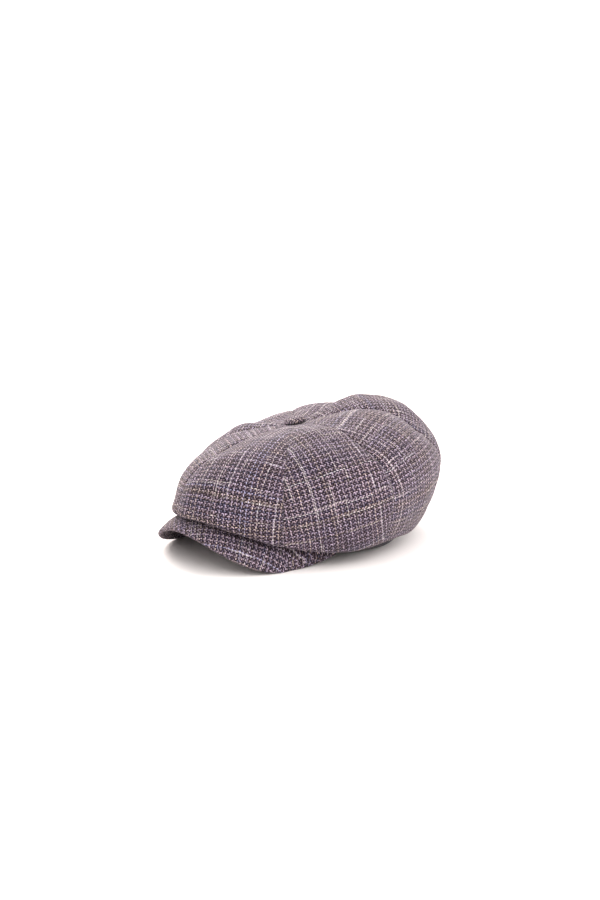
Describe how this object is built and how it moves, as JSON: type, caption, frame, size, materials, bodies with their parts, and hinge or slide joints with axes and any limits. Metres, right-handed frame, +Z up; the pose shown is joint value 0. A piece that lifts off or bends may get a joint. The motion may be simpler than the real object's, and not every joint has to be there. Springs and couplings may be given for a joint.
{
  "type": "eight-panel newsboy flat cap",
  "caption": "Full flat cap of the newsboy kind: soft sewn crown panels, a covered button on top, a short arched peak and a plain band round the head opening.",
  "frame": {"origin": "middle of the cap's outline, on the surface it stands on", "axes": "+Z up through the crown, peak towards -Y, wearer's left towards +X"},
  "size_m": [0.246, 0.2872, 0.1281],
  "materials": {
    "wool": "woven wool, dark aubergine grey with pale threads",
    "band_cloth": "plain woven band, dark"
  },
  "bodies": {
    "root": {"panel_front_left": "wool", "panel_side_front_left": "wool", "panel_side_back_left": "wool", "panel_back_left": "wool", "panel_back_right": "wool", "panel_side_back_right": "wool", "panel_side_front_right": "wool", "panel_front_right": "wool", "button": "wool", "peak": "wool", "band": "band_cloth"}
  },
  "joints": []
}
